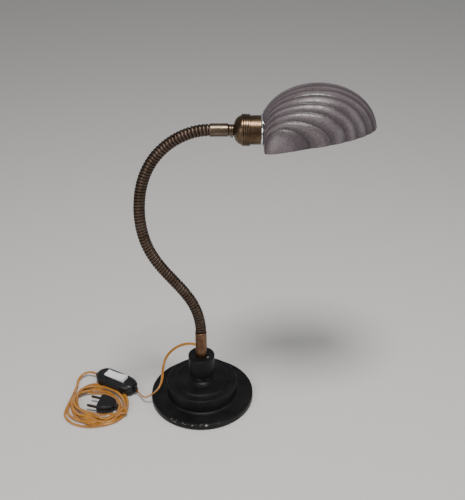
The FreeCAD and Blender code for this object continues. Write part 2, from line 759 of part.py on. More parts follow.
def build_switch():
    turn = Rotation(Vector(0, 0, 1), SWITCH_HEADING)
    middle = Vector(number("switch_length") / 2, number("switch_width") / 2, 0)
    frame = Placement(SWITCH_CENTRE - turn.multVec(middle), turn)
    wall = size("switch_wall")
    split = size("switch_split")
    height = size("switch_height")
    base = padded("switch_base", switch_outline(fixed(0)), split, frame)
    fillet(base, size("switch_base_round"), lambda edge: edge.CenterOfMass.z < 0.01)
    pocket(base, switch_outline(wall), split - wall, start=wall, reverse=True)
    cover = padded("switch_cover", switch_outline(fixed(0)), height - split, frame, start=split)
    top = number("switch_height")
    fillet(cover, size("switch_cover_round"), lambda edge: edge.CenterOfMass.z > top - 0.01)
    pocket(cover, switch_outline(wall), height - split - wall * 1.5, start=split, reverse=True)
    pocket(cover, rocker_window(size("rocker_gap")), height, start=split, reverse=True)
    build_rocker(frame)
    build_switch_insides(frame)


def build_rocker(frame):
    """The rocker rests pressed at its left end; it turns about a pin across the switch."""
    half = size("rocker_length") / 2
    top = size("switch_height") + size("rocker_rise") - size("rocker_pivot")
    end = top - size("rocker_end")
    foot = size("rocker_foot")
    belly = size("rocker_belly")
    body = padded("switch_rocker", [
        (-half, end), (-foot, -belly), (foot, -belly, foot * 1.4), (half, end), (half, top),
        (0, top - size("rocker_dip")), (-half, top)],
        size("rocker_width"), role="XZ_Plane", start=-(size("rocker_width") / 2))
    tilt = Placement(Vector(), Rotation(Vector(0, 1, 0), -number("rocker_tilt")))
    along = number("switch_length") / 2 + number("rocker_offset")
    pivot = Vector(along, number("switch_width") / 2, number("rocker_pivot"))
    body.Placement = frame.multiply(Placement(pivot, Rotation())).multiply(tilt)


def build_switch_insides(frame):
    """The contact strip under the rocker and the two grommets that the flex passes through."""
    middle = size("switch_width") / 2
    centre = size("switch_length") / 2
    half = size("contact_strip_length") / 2
    width = size("contact_strip_width") / 2
    edge = size("edge")
    contact = padded("switch_contacts", [
        (centre - half, middle - width), (centre + half, middle - width), (centre + half, middle + width),
        (centre - half, middle + width)], edge, frame, start=size("contact_strip_height"))
    slot = edge * 2
    pocket(contact, [
        (centre - slot, middle - width - edge), (centre + slot, middle - width - edge),
        (centre + slot, middle + width + edge), (centre - slot, middle + width + edge)],
        edge * 3, start=size("contact_strip_height") - edge, reverse=True)
    length = number("grommet_length")
    inside = number("grommet_inside")
    places = [inside + 1 - length, number("switch_length") - inside]
    grommets = []
    for place in places:
        grommet = doc.addObject("Part::Cylinder", "switch_grommet")
        grommet.setExpression("Radius", "Sizes.grommet_radius")
        grommet.setExpression("Height", "Sizes.grommet_length")
        grommet.Placement = Placement(
            Vector(place, middle.value, number("grommet_height")), Rotation(Vector(0, 1, 0), 90))
        grommets.append(grommet)
    group = doc.addObject("Part::Compound", "switch_grommets")
    group.Links = grommets
    keep(group, "switch_grommets", frame)
    print("switch grommets %.1f long, ends %s and %s" % (
        length, frame.multVec(Vector(places[0], middle.value, number("grommet_height"))),
        frame.multVec(Vector(places[1] + length, middle.value, number("grommet_height")))))


# ---- plug ----

def build_plug():
    turn = Rotation(Vector(0, 0, 1), PLUG_HEADING).multiply(Rotation(Vector(0, 1, 0), PLUG_PITCH))
    frame = Placement(PLUG_CORNER, turn)
    length = size("plug_length")
    width = size("plug_width")
    tail = size("plug_tail_width")
    shoulder = size("plug_shoulder")
    body = padded("plug_body", [
        (0, 0), (shoulder, 0), (length, (width - tail) / 2), (length, (width + tail) / 2),
        (shoulder, width), (0, width)], size("plug_height"), frame)
    fillet(body, size("plug_round"), lambda edge: abs(edge.CenterOfMass.z - number("plug_height") / 2) > 1)
    middle = number("plug_width") / 2
    axis = number("plug_height") / 2
    pins = []
    for side in (-1, 1):
        pin = doc.addObject("Part::Cylinder", "plug_pin")
        pin.setExpression("Radius", "Sizes.pin_radius")
        pin.setExpression("Height", "Sizes.pin_length")
        pin.Placement = Placement(
            Vector(-number("pin_length"), middle + side * number("pin_spacing") / 2, axis),
            Rotation(Vector(0, 1, 0), 90))
        pins.append(pin)
    group = doc.addObject("Part::Compound", "plug_pins")
    group.Links = pins
    keep(group, "plug_pins", frame)
    tail_end = Placement(Vector(number("plug_length"), middle, axis), Rotation(Vector(0, 1, 0), 90))
    end = size("sleeve_length")
    turned("plug_sleeve", [
        (0, 0), (size("sleeve_radius"), 0), (size("sleeve_tip_radius"), end), (0, end)], frame.multiply(tail_end))


# ---- build, check and write ----

def main():
    build_base()
    build_flex_bush()
    seat = Vector(0, 0, number("collar_height") - number("screw_length"))
    build_small_screw("collar_screw", Placement(COLLAR_SCREW + seat, Rotation()))
    head = build_gooseneck()
    print("head axis height %.2f, gooseneck end x %.2f" % (head.Base.z, head.Base.x))
    build_lampholder(head)
    build_bulb(head)
    build_shade_rings(head)
    build_shade(head)
    build_flex("flex_to_switch", FLEX_TO_SWITCH)
    build_flex("flex_to_coil", FLEX_TO_COIL)
    build_coil()
    build_switch()
    build_plug()
    doc.recompute()
    for item in doc.Objects:
        if "Invalid" in item.State or "Error" in item.State:
            raise RuntimeError("%s is in state %s" % (item.Label, item.State))
    for piece in subparts:
        if piece.Shape.isNull() or not piece.Shape.isValid():
            raise RuntimeError("%s has no valid shape" % piece.Label)
    os.makedirs("parts", exist_ok=True)
    for piece in subparts:
        piece.Shape.exportStep("parts/%s.step" % piece.Label)
    print("%d sub-parts written" % len(subparts))


main()
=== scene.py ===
import json
import math

import bpy
from mathutils import Matrix, Vector

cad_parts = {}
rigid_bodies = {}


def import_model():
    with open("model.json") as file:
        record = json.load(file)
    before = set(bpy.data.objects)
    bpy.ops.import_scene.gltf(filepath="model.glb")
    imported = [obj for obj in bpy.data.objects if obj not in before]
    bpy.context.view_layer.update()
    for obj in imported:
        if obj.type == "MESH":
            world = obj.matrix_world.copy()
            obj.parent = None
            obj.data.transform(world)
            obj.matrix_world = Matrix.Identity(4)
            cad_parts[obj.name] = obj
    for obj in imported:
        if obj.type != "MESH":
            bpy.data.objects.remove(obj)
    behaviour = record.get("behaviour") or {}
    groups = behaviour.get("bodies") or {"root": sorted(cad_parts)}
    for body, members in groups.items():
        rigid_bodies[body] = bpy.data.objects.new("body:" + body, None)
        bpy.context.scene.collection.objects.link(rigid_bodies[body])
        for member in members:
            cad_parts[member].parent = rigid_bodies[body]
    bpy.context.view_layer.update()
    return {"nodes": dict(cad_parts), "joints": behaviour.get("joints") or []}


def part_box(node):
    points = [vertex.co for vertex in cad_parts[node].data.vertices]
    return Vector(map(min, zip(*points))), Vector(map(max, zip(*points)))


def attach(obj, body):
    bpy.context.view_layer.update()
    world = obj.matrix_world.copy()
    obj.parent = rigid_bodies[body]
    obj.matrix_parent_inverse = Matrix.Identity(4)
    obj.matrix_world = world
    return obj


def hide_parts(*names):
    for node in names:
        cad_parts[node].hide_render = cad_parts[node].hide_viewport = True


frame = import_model()
MM = 0.001

# Places that everything else is worked out from, in metres.
JOINTS = [joint for joint in frame["joints"] if joint["name"].startswith("gooseneck")]
HOSE_BODIES = [JOINTS[0]["parent"]] + [joint["child"] for joint in JOINTS]
HEAD = Vector(JOINTS[-1]["pos_m"])
SHADE_BACK = Vector((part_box("shade")[0].x, 0, HEAD.z))
SHADE_ROLL = math.radians(-8)
AROUND_HEAD = Matrix.Translation(HEAD) @ Matrix.Rotation(math.radians(90), 4, "Y")

# The flex's routes, written in mm and kept in metres: from the bush to the switch, and on to the coil.
FLEX_WIDTH = 4 * MM
FLEX_THICKNESS = 2.3 * MM
FLEX_TO_SWITCH = [Vector(point) * MM for point in [
    (0, 25, 60), (-1, 33, 60.5), (-5, 40, 61), (-12, 45, 61), (-21, 47, 60.5), (-31, 47, 58.5),
    (-41, 45.5, 54), (-50, 41.5, 48), (-56, 34.5, 42), (-58.5, 26, 36.5), (-59.5, 15.5, 31.5),
    (-59, 5, 28.5), (-60.5, -4.5, 25.5), (-64.5, -12.5, 22), (-70.3, -17.3, 18.8), (-76.8, -19.2, 15.2),
    (-82.6, -17.8, 10.8), (-87.2, -13, 7.2), (-91, -6.4, 5.3), (-97.6, 1.5, 7.5)]]
FLEX_TO_COIL = [Vector(point) * MM for point in [
    (-162.5, 39, 7.5), (-170, 43.3, 8.2), (-178.5, 43.6, 7.6), (-185.8, 39.3, 5.8), (-190, 31.8, 4.2),
    (-190.6, 23.2, 3), (-189.6, 14.2, 3)]]
# Each loose turn of the coil in mm: its leftmost, nearest, rightmost and farthest points on the table.
COIL_TURNS = [
    [(-199, -38), (-158, -69.5), (-109, -34), (-158, 18)],
    [(-192.5, -15), (-146, -67), (-112, -40), (-150, 13)],
    [(-196, -32), (-152, -63), (-108.5, -27), (-163, 20)],
    [(-188, -17), (-138, -64), (-117, -41), (-156, 8)],
    [(-191, -21), (-150, -56), (-112, -33), (-165, 14.5)],
    [(-185, -13), (-136, -58), (-119.5, -38), (-157, 2)],
    [(-188.5, -18), (-143, -50), (-108, -46)],
]
COIL_HEIGHT = 8.5 * MM
# The last points of the coiled flex in mm, from the end of the plug's sleeve.
PLUG_END_STEPS = [(10.5, -6.5, 2), (9.5, -2.9, 1), (5, -1.1, 0.2), (0, 0, 0)]
CORE_RADIUS = 0.55 * MM
CORE_ASIDE = 0.25
SWITCH_CENTRE = Vector((-130.5, 20.5, 0)) * MM
SWITCH_TURN = math.radians(-30)
SWITCH_HEIGHT = 18
ROCKER_OFFSET = 1.5
ROCKER_HALF_LENGTH = 17.5
ROCKER_HALF_WIDTH = 6.5
ROCKER_PIVOT = 12.5
ROCKER_RISE = 4.6
PLUG_CORNER = Vector((-154, -40.5, 2.4)) * MM
PLUG_TURN = math.radians(-12)
PLUG_PITCH = math.radians(5)
PLUG_MIDDLE = 14
PLUG_AXIS = 6.5
PIN_ASIDE = 9.5

# The camera: its place in metres, how many degrees it looks down, and its sensor and lens in mm.
CAMERA_PLACE = (0.045, -0.9145, 0.804)
CAMERA_LOOKS_DOWN = 31.05
CAMERA_SENSOR = 36
CAMERA_LENS = 61.94
STUDIO_COLOUR = (0.8, 0.8, 0.82, 1)
STUDIO_STRENGTH = 0.34


# ---- meshes ----

def mesh_piece(name, points, faces, material, body, matrix=None, replaces=()):
    """A smooth mesh piece that rides on a body."""
    mesh = bpy.data.meshes.new(name)
    mesh.from_pydata([tuple(point) for point in points], [], faces)
    if matrix is not None:
        mesh.transform(matrix)
    mesh.update()
    mesh.validate()
    piece = bpy.data.objects.new(name, mesh)
    bpy.context.scene.collection.objects.link(piece)
    mesh.materials.append(material)
    mesh.shade_smooth()
    if body is not None:
        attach(piece, body)
    if replaces:
        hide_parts(*replaces)
    return piece


def round_corners(corners, steps=4):
    """A profile whose corners (x, y, radius) become arcs."""
    points = []
    for before, corner, after in zip([corners[0]] + corners[:-1], corners, corners[1:] + [corners[-1]]):
        here = Vector(corner[:2])
        radius = corner[2] if len(corner) > 2 else 0
        way_in = here - Vector(before[:2])
        way_out = Vector(after[:2]) - here
        if radius == 0 or way_in.length == 0 or way_out.length == 0:
            points.append(here)
            continue
        turn = way_in.angle(way_out)
        trim = min(radius * math.tan(turn / 2), way_in.length * 0.48, way_out.length * 0.48)
        start = here - way_in.normalized() * trim
        end = here + way_out.normalized() * trim
        for step in range(steps + 1):
            share = step / steps
            points.append(start * (1 - share) ** 2 + here * 2 * share * (1 - share) + end * share ** 2)
    return points


def lathe(name, corners, material, body, matrix=None, replaces=(), closed=True, segments=128, steps=4):
    """A turned piece from corners (radius, height, rounding) in mm, round its own Z axis."""
    loop = corners + [corners[0]] if closed else corners
    profile = round_corners(loop, steps)
    if closed:
        profile.pop()
    rows = len(profile)
    points = []
    for point in profile:
        for index in range(segments):
            angle = math.tau * index / segments
            points.append(Vector((point.x * math.cos(angle), point.x * math.sin(angle), point.y)) * MM)
    faces = []
    for row in range(rows if closed else rows - 1):
        following = (row + 1) % rows
        for index in range(segments):
            beside = (index + 1) % segments
            faces.append((row * segments + index, row * segments + beside,
                          following * segments + beside, following * segments + index))
    return mesh_piece(name, points, faces, material, body, matrix, replaces)


def soften(piece, width, angle=35, segments=3):
    """Rounds a piece's sharp edges."""
    bevel = piece.modifiers.new("edges", "BEVEL")
    bevel.width = width
    bevel.segments = segments
    bevel.limit_method = "ANGLE"
    bevel.angle_limit = math.radians(angle)
    bevel.harden_normals = True
    return piece


def stacked(name, rings, material, body, matrix=None, replaces=()):
    """A closed piece through rings of points of one count, with its two ends capped."""
    count = len(rings[0])
    points = [point for ring in rings for point in ring]
    faces = []
    for row in range(len(rings) - 1):
        for index in range(count):
            beside = (index + 1) % count
            faces.append((row * count + index, row * count + beside,
                          (row + 1) * count + beside, (row + 1) * count + index))
    faces.append(tuple(reversed(range(count))))
    faces.append(tuple(range((len(rings) - 1) * count, len(rings) * count)))
    return mesh_piece(name, points, faces, material, body, matrix, replaces)


# ---- materials ----

class Finish:
    """A procedural material: a Principled shader, with short ways to add detail in object coordinates."""

    def __init__(self, name, colour, roughness, metallic=0.0, **values):
        self.material = bpy.data.materials.new(name)
        self.material.use_nodes = True
        self.nodes = self.material.node_tree.nodes
        self.links = self.material.node_tree.links
        self.shader = self.nodes["Principled BSDF"]
        self.shader.inputs["Base Color"].default_value = (*colour, 1)
        self.shader.inputs["Roughness"].default_value = roughness
        self.shader.inputs["Metallic"].default_value = metallic
        for socket, value in values.items():
            self.shader.inputs[socket.replace("_", " ")].default_value = value
        self.place = self.nodes.new("ShaderNodeTexCoord").outputs["Object"]

    def noise(self, scale, detail=3.0, stretch=(1, 1, 1)):
        mapping = self.nodes.new("ShaderNodeMapping")
        mapping.inputs["Scale"].default_value = stretch
        self.links.new(self.place, mapping.inputs["Vector"])
        texture = self.nodes.new("ShaderNodeTexNoise")
        texture.inputs["Scale"].default_value = scale
        texture.inputs["Detail"].default_value = detail
        self.links.new(mapping.outputs["Vector"], texture.inputs["Vector"])
        return texture.outputs["Fac"]

    def attribute(self, name):
        node = self.nodes.new("ShaderNodeAttribute")
        node.attribute_name = name
        return node.outputs["Fac"]

    def ramp(self, value, stops):
        """Maps a value to a number or a colour through (place, number or colour) stops."""
        node = self.nodes.new("ShaderNodeValToRGB")
        while len(node.color_ramp.elements) < len(stops):
            node.color_ramp.elements.new(1)
        for element, (place, level) in zip(node.color_ramp.elements, stops):
            element.position = place
            element.color = (*level, 1) if isinstance(level, tuple) else (level, level, level, 1)
        self.links.new(value, node.inputs["Fac"])
        return node.outputs["Color"]

    def maths(self, operation, first, second):
        node = self.nodes.new("ShaderNodeMath")
        node.operation = operation
        for socket, value in zip(node.inputs, (first, second)):
            if isinstance(value, (int, float)):
                socket.default_value = value
            else:
                self.links.new(value, socket)
        return node.outputs["Value"]

    def mix(self, share, first, second, blend="MIX"):
        node = self.nodes.new("ShaderNodeMix")
        node.data_type = "RGBA"
        node.blend_type = blend
        sockets = [node.inputs[place] for place in ("Factor", "A", "B")]
        for socket, value in zip(sockets, (share, first, second)):
            if isinstance(value, tuple):
                socket.default_value = (*value, 1)
            elif isinstance(value, (int, float)):
                socket.default_value = value
            else:
                self.links.new(value, socket)
        return node.outputs["Result"]

    def set(self, socket, value):
        self.links.new(value, self.shader.inputs[socket])

    def bump(self, *layers):
        """Adds bumps of (height, depth in metres) layers."""
        normal = None
        for height, depth in layers:
            node = self.nodes.new("ShaderNodeBump")
            node.inputs["Strength"].default_value = 1
            node.inputs["Distance"].default_value = depth
            self.links.new(height, node.inputs["Height"])
            if normal is not None:
                self.links.new(normal, node.inputs["Normal"])
            normal = node.outputs["Normal"]
        self.set("Normal", normal)
        return self.material


def black_enamel():
    """Old gloss enamel: slightly wavy, dusty in patches, chipped to dull metal along the disc's edge."""
    finish = Finish("black_enamel", (0.006, 0.006, 0.007), 0.38, Specular_IOR_Level=0.22)
    split = finish.nodes.new("ShaderNodeSeparateXYZ")
    finish.links.new(finish.place, split.inputs["Vector"])
    across = finish.maths("MULTIPLY", split.outputs["X"], split.outputs["X"])
    along = finish.maths("MULTIPLY", split.outputs["Y"], split.outputs["Y"])
    radius = finish.maths("SQRT", finish.maths("ADD", across, along), 0)
    edge = finish.ramp(finish.maths("MULTIPLY", radius, 10), [(0.715, 0.0), (0.735, 1.0), (0.75, 1.0)])
    top = finish.ramp(finish.maths("MULTIPLY", split.outputs["Z"], 50), [(0.3, 0.0), (0.4, 1.0), (0.5, 0.6)])
    chips = finish.ramp(finish.noise(190, 6), [(0.58, 0.0), (0.62, 1.0)])
    front = finish.ramp(finish.maths("MULTIPLY", split.outputs["Y"], -10), [(0.58, 0.0), (0.68, 1.0)])
    worn = finish.maths("MULTIPLY", finish.maths("MULTIPLY", edge, top), finish.maths("MULTIPLY", chips, front))
    dust = finish.ramp(finish.noise(38, 5), [(0.42, 0.0), (0.72, 1.0)])
    paint = finish.mix(dust, (0.004, 0.004, 0.005), (0.012, 0.0115, 0.012))
    finish.set("Base Color", finish.mix(worn, paint, (0.36, 0.33, 0.3)))
    finish.set("Roughness", finish.maths("ADD", finish.maths("MULTIPLY", finish.noise(120, 5), 0.3), 0.27))
    return finish.bump((finish.noise(160, 2), 0.00012), (chips, 0.00002))


def bronzed_hose():
    """Bronzed steel, with painted shade that makes the grooves nearly black and a painted highlight that
    lightens the crests to grey-brown.
    """
    finish = Finish("bronzed_hose", (0.2, 0.15, 0.1), 0.3, 1.0)
    crest = finish.attribute("crest")
    # The crest value runs from painted shade in the grooves to a painted highlight on the crests.
    painted_rib_shading = finish.ramp(crest, [(0.0, (0.045, 0.032, 0.025)), (0.5, (0.075, 0.056, 0.044)),
                               (1.0, (0.13, 0.1, 0.083))])
    blotch = finish.ramp(finish.noise(60, 4), [(0.35, (0.62, 0.55, 0.5)), (0.7, (1.0, 0.97, 0.93))])
    finish.set("Base Color", finish.mix(1.0, painted_rib_shading, blotch, "MULTIPLY"))
    finish.set("Roughness", finish.ramp(finish.noise(300, 3), [(0.3, 0.36), (0.75, 0.52)]))
    return finish.bump((finish.noise(1500, 2), 0.00003))


def aged_metal(name, light, dark, roughness=(0.2, 0.45), spots=50):
    """Old plated or bare metal: tarnish in soft patches, fine scratches and pits."""
    finish = Finish(name, light, 0.3, 1.0)
    patch = finish.ramp(finish.noise(spots, 6), [(0.38, 0.0), (0.66, 1.0)])
    grain = finish.ramp(finish.noise(900, 4), [(0.3, (0.75, 0.74, 0.72)), (0.7, (1.0, 1.0, 1.0))])
    finish.set("Base Color", finish.mix(1.0, finish.mix(patch, light, dark), grain, "MULTIPLY"))
    gloss = [(0.3, roughness[0]), (0.75, roughness[1])]
    finish.set("Roughness", finish.ramp(finish.noise(spots * 2, 5), gloss))
    return finish.bump((finish.noise(2200, 2), 0.00002), (finish.noise(120, 3), 0.00006))


def grey_shade():
    """Aluminium-grey lacquer on pressed sheet: soft purple-grey, pitted and speckled, with painted shade in the
    folds and a painted highlight on the tops of the ribs.
    """
    finish = Finish("grey_shade", (0.13, 0.11, 0.12), 0.5, 0.0, Specular_IOR_Level=0.55)
    fold = finish.attribute("crest")
    # The crest value runs from painted shade in the folds to a painted highlight on the ribs.
    painted_rib_shading = finish.ramp(fold, [(0.0, (0.026, 0.019, 0.021)), (0.35, (0.066, 0.052, 0.058)),
                              (0.8, (0.082, 0.066, 0.073)), (1.0, (0.135, 0.112, 0.123))])
    mottle = finish.ramp(finish.noise(60, 6), [(0.3, (0.74, 0.71, 0.7)), (0.7, (1.0, 0.99, 0.98))])
    speckle = finish.ramp(finish.noise(520, 3), [(0.32, (0.66, 0.65, 0.65)), (0.5, (0.95, 0.95, 0.95)),
                                                 (0.72, (1.15, 1.15, 1.16))])
    finish.set("Base Color", finish.mix(1.0, finish.mix(1.0, painted_rib_shading, mottle, "MULTIPLY"), speckle, "MULTIPLY"))
    finish.set("Roughness", finish.ramp(finish.noise(420, 4), [(0.3, 0.3), (0.75, 0.52)]))
    return finish.bump((finish.noise(560, 3), 0.00012), (finish.noise(180, 3), 0.00025))


def amber_pvc():
    """Clear amber PVC over bright strands."""
    finish = Finish("amber_pvc", (0.5, 0.2, 0.015), 0.24, 0.0, IOR=1.5, Transmission_Weight=0.22)
    ambers = [(0.3, (0.4, 0.145, 0.008)), (0.7, (0.58, 0.25, 0.02))]
    finish.set("Base Color", finish.ramp(finish.noise(80, 3), ambers))
    return finish.bump((finish.noise(500, 2), 0.00004))


def copper_strands():
    finish = Finish("copper_strands", (0.9, 0.55, 0.25), 0.3, 1.0)
    coppers = [(0.3, (0.75, 0.4, 0.16)), (0.7, (1.0, 0.68, 0.34))]
    finish.set("Base Color", finish.ramp(finish.noise(400, 2), coppers))
    return finish.bump((finish.noise(2500, 1), 0.00008))


def moulded_plastic(name, colour, roughness=0.3):
    finish = Finish(name, colour, roughness, Specular_IOR_Level=0.38)
    light = tuple(min(1.0, part * 1.15 + 0.004) for part in colour)
    finish.set("Base Color", finish.mix(finish.noise(60, 4), colour, light))
    gloss = [(0.3, roughness * 0.75), (0.75, roughness * 1.35)]
    finish.set("Roughness", finish.ramp(finish.noise(150, 4), gloss))
    return finish.bump((finish.noise(900, 2), 0.00003))


def opal_glass():
    finish = Finish("opal_glass", (0.93, 0.92, 0.88), 0.12, 0.0, Transmission_Weight=0.15,
                    Subsurface_Weight=0.4, Subsurface_Scale=0.004, Coat_Weight=0.6)
    finish.set("Base Color", finish.mix(finish.noise(30, 2), (0.9, 0.89, 0.84), (0.96, 0.95, 0.92)))
    return finish.bump((finish.noise(60, 1), 0.00003))


def felt():
    finish = Finish("green_felt", (0.04, 0.1, 0.06), 0.95)
    greens = [(0.3, (0.02, 0.06, 0.035)), (0.7, (0.06, 0.14, 0.09))]
    finish.set("Base Color", finish.ramp(finish.noise(900, 6), greens))
    return finish.bump((finish.noise(1600, 4), 0.0003))


def glazed_ceramic():
    finish = Finish("ceramic", (0.82, 0.8, 0.74), 0.2, 0.0, Coat_Weight=0.4)
    finish.set("Base Color", finish.mix(finish.noise(120, 4), (0.78, 0.75, 0.68), (0.86, 0.84, 0.79)))
    return finish.bump((finish.noise(250, 3), 0.00005))


def make_finishes():
    return {
        "black_enamel": black_enamel(),
        "bronzed_hose": bronzed_hose(),
        "copper_brass": aged_metal("copper_brass", (0.3, 0.165, 0.095), (0.13, 0.075, 0.045), (0.28, 0.5)),
        "worn_nickel": aged_metal("worn_nickel", (0.2, 0.158, 0.12), (0.115, 0.084, 0.058), (0.27, 0.42)),
        "aged_brass": aged_metal("aged_brass", (0.19, 0.132, 0.086), (0.1, 0.064, 0.038), (0.24, 0.42)),
        # The plug's pins: metal painted nearly black, a painted shade that stands for the shadow they lie in.
        "painted_shade_pins": aged_metal("painted_shade_pins", (0.07, 0.055, 0.045), (0.03, 0.024, 0.02), (0.3, 0.5)),
        "polished_ring": aged_metal("polished_ring", (0.86, 0.87, 0.9), (0.7, 0.71, 0.74), (0.08, 0.2)),
        "steel": aged_metal("steel", (0.6, 0.59, 0.57), (0.34, 0.32, 0.3)),
        "aluminium": aged_metal("aluminium", (0.78, 0.78, 0.77), (0.6, 0.6, 0.6), (0.22, 0.4)),
        "grey_shade": grey_shade(),
        "amber_pvc": amber_pvc(),
        "copper_strands": copper_strands(),
        "black_plastic": moulded_plastic("black_plastic", (0.008, 0.008, 0.009), 0.34),
        "white_plastic": moulded_plastic("white_plastic", (0.84, 0.83, 0.86), 0.3),
        "opal_glass": opal_glass(),
        "green_felt": felt(),
        "ceramic": glazed_ceramic(),
    }


# ---- camera, floor and light ----

def make_camera():
    camera = bpy.data.objects.new("camera", bpy.data.cameras.new("camera"))
    bpy.context.scene.collection.objects.link(camera)
    camera.location = CAMERA_PLACE
    camera.rotation_euler = (math.radians(90 - CAMERA_LOOKS_DOWN), 0, 0)
    camera.data.sensor_fit = "HORIZONTAL"
    camera.data.sensor_width = CAMERA_SENSOR
    camera.data.lens = CAMERA_LENS
    bpy.context.scene.camera = camera


def area_light(name, place, target, size, power, colour=(1, 1, 1)):
    light = bpy.data.objects.new(name, bpy.data.lights.new(name, "AREA"))
    bpy.context.scene.collection.objects.link(light)
    light.location = place
    light.rotation_euler = (Vector(target) - Vector(place)).to_track_quat("-Z", "Y").to_euler()
    light.data.shape = "DISK"
    light.data.size = size
    light.data.energy = power
    light.data.color = colour


def make_stage():
    bpy.ops.mesh.primitive_plane_add(size=12, location=(0, 0, -0.0002))
    floor = bpy.context.object
    floor.name = "floor"
    finish = Finish("pale_floor", (0.72, 0.71, 0.69), 0.8)
    floor.data.materials.append(finish.material)
    area_light("key_light", (0.08, -0.4, 1.75), (0.05, 0, 0.2), 0.42, 21, (1, 0.98, 0.95))
    area_light("fill_light", (-0.9, -1.6, 1.0), (0, 0, 0.25), 1.2, 14, (1, 0.98, 0.96))
    area_light("side_light", (1.4, -0.8, 0.8), (0, 0, 0.25), 1.0, 5, (0.95, 0.97, 1))
    world = bpy.data.worlds.new("studio")
    world.use_nodes = True
    world.node_tree.nodes["Background"].inputs["Color"].default_value = STUDIO_COLOUR
    world.node_tree.nodes["Background"].inputs["Strength"].default_value = STUDIO_STRENGTH
    bpy.context.scene.world = world


# ---- flex ----

def smooth_route(name, points):
    """The points along the smooth line that a route's control points make."""
    curve = bpy.data.curves.new(name + "_route", "CURVE")
    curve.dimensions = "3D"
    curve.resolution_u = 6
    spline = curve.splines.new("NURBS")
    spline.points.add(len(points) - 1)
    for control, point in zip(spline.points, points):
        control.co = (*point, 1)
    spline.order_u = 3
    spline.use_endpoint_u = True
    holder = bpy.data.objects.new(name + "_route", curve)
    bpy.context.scene.collection.objects.link(holder)
    line = bpy.data.meshes.new_from_object(holder.evaluated_get(bpy.context.evaluated_depsgraph_get()))
    path = [vertex.co.copy() for vertex in line.vertices]
    bpy.data.objects.remove(holder)
    return path


def path_frames(path, roll):
    """For each point of a path, the directions across and above a flat flex that lies level, turned by roll."""
    frames = []
    for index, point in enumerate(path):
        forward = (path[min(index + 1, len(path) - 1)] - path[max(index - 1, 0)]).normalized()
        across = forward.cross(Vector((0, 0, 1)))
        if across.length < 0.3 and frames:
            across = frames[-1][0] - forward * frames[-1][0].dot(forward)
        across.normalize()
        if frames and across.dot(frames[-1][0]) < 0:
            across.negate()
        above = across.cross(forward)
        angle = roll(index / (len(path) - 1))
        frames.append((across * math.cos(angle) + above * math.sin(angle),
                       above * math.cos(angle) - across * math.sin(angle)))
    return frames


def twin_section(count=20):
    """Section of the flat twin flex: two round cores side by side with a shallow waist."""
    section = []
    for index in range(count):
        angle = math.tau * index / count
        across = math.cos(angle) * FLEX_WIDTH / 2
        waist = 1 - 0.22 * math.exp(-(across / (0.22 * FLEX_WIDTH)) ** 2)
        height = math.copysign(abs(math.sin(angle)) ** 0.72, math.sin(angle)) * FLEX_THICKNESS / 2 * waist
        section.append((across, height))
    return section


def sweep(name, path, frames, section, material, body, replaces=(), shift=0.0):
    """A tube of one section along a path, its ends closed."""
    rings = []
    for point, (across, above) in zip(path, frames):
        centre = point + across * shift
        rings.append([centre + across * side + above * height for side, height in section])
    return stacked(name, rings, material, body, None, replaces)


def coil_plan():
    """The turns seen from above: quarters of ellipses from one outermost point to the next."""
    steps = 6
    corners = [Vector((x, y, 0)) * MM for turn in COIL_TURNS for x, y in turn]
    points = [corners[0]]
    for index, (start, end) in enumerate(zip(corners, corners[1:])):
        for step in range(1, steps + 1):
            angle = math.pi / 2 * step / steps
            rise = 1 - math.cos(angle)
            run = math.sin(angle)
            along_x, along_y = (run, rise) if index % 2 else (rise, run)
            points.append(Vector((start.x + (end.x - start.x) * along_x,
                                  start.y + (end.y - start.y) * along_y, 0)))
    return points


def settle(points):
    """Lets the turns come to rest: each point lies on the table or on what is already laid under it."""
    rest = FLEX_THICKNESS * 0.68
    slope = 0.24
    heights = [rest] * len(points)
    for index in range(1, len(points)):
        for share in (0.33, 0.67, 1.0):
            spot = points[index - 1].lerp(points[index], share)
            for other in range(index - 4):
                run = points[other + 1] - points[other]
                along = min(max((spot - points[other]).dot(run) / run.length_squared, 0), 1)
                away = (spot - points[other] - run * along).length / FLEX_WIDTH
                if away < 1:
                    below = heights[other] * (1 - along) + heights[other + 1] * along
                    lift = min(below + FLEX_THICKNESS * math.sqrt(1 - away * away), COIL_HEIGHT)
                    heights[index] = max(heights[index], lift)
                    heights[index - 1] = max(heights[index - 1], lift - slope * 3 * MM)
        fall = slope * (points[index] - points[index - 1]).length
        heights[index] = max(heights[index], heights[index - 1] - fall)
        back = index - 1
        while back > 0 and heights[back] < heights[back + 1] - slope * (points[back + 1] - points[back]).length:
            heights[back] = heights[back + 1] - slope * (points[back + 1] - points[back]).length
            back -= 1
    return [Vector((point.x, point.y, height)) for point, height in zip(points, heights)]


def switch_flex_roll(share):
    """Turns the flex from nearly on edge at the bush, through flat, to nearly on edge at the switch."""
    return math.radians(70 - 150 * share)


def coil_flex_roll(share):
    """Rocks the coiled flex a little from side to side, and not at all at its ends."""
    return math.radians(24) * math.sin(share * 47) * min(1, 12 * share, 14 * (1 - share))


